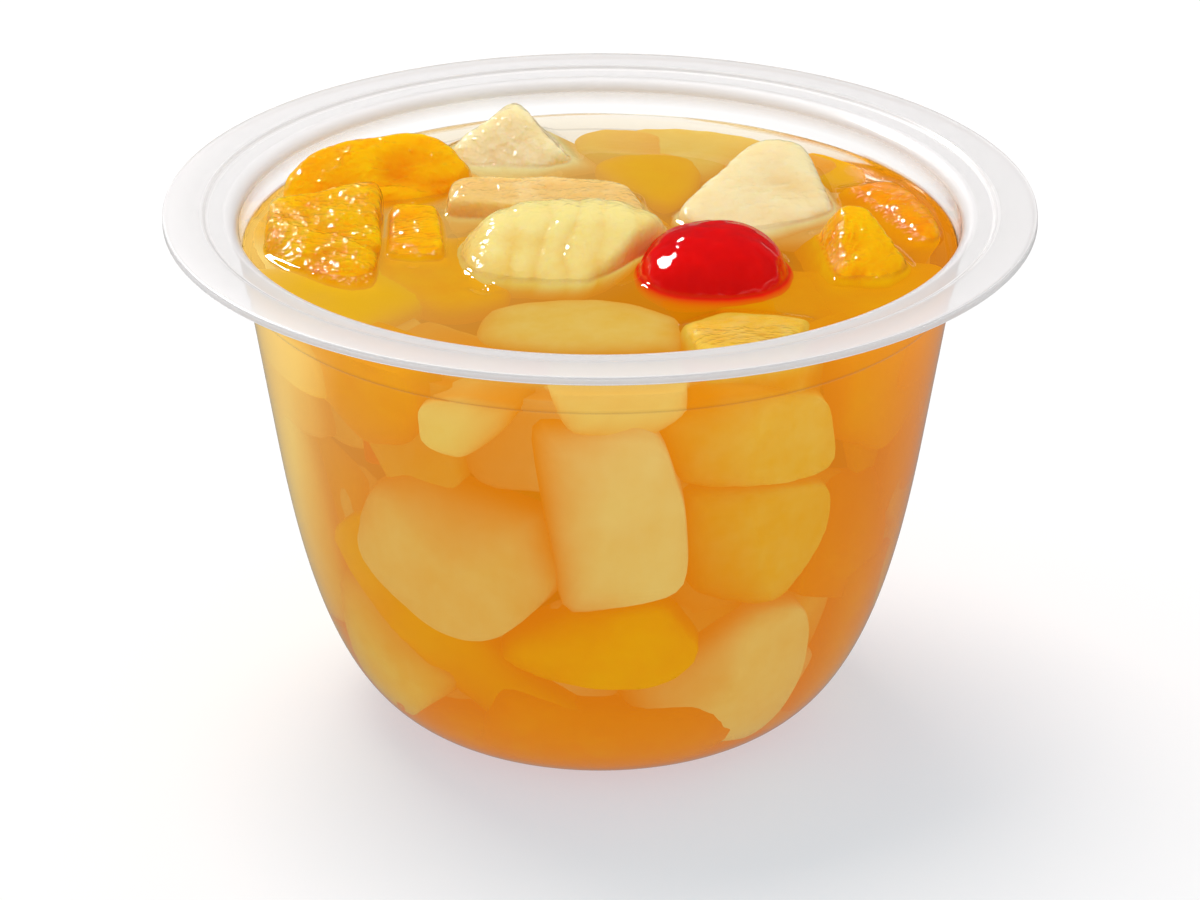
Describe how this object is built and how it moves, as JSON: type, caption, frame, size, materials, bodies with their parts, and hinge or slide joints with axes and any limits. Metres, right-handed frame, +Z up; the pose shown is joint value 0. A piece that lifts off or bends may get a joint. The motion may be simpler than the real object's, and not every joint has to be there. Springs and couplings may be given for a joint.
{
  "type": "fruit cup",
  "caption": "Clear plastic cup with a wide flat rim, filled with syrup and pieces of peach, pear, pineapple and cherry that stand out of it.",
  "frame": {"origin": "centre of the flat base, on the surface that the cup stands on", "axes": "+Z up along the cup's axis; -Y is the front, with the cherry half to its right"},
  "size_m": [0.096, 0.096, 0.0589],
  "materials": {
    "clear_plastic": "clear formed sheet, glossy, slightly milky on the rim",
    "syrup": "cloudy amber syrup with a wet, smooth surface",
    "peach": "wet orange-yellow flesh with soft fibres",
    "pear": "wet cream flesh, finely grained",
    "pineapple": "wet pale yellow flesh with fibres",
    "cherry": "glossy, see-through red skin"
  },
  "bodies": {
    "root": {"cup": "clear_plastic", "syrup": "syrup", "peach_slice_back_left": "peach", "peach_chunk_left": "peach", "peach_chunk_small": "peach", "pear_chunk_back": "pear", "pear_slab_middle": "pear", "pineapple_tidbit": "pineapple", "pear_chunk_right": "pear", "cherry_half": "cherry", "peach_chunk_right": "peach", "peach_slice_far_right": "peach", "pineapple_front": "pineapple"}
  },
  "joints": []
}
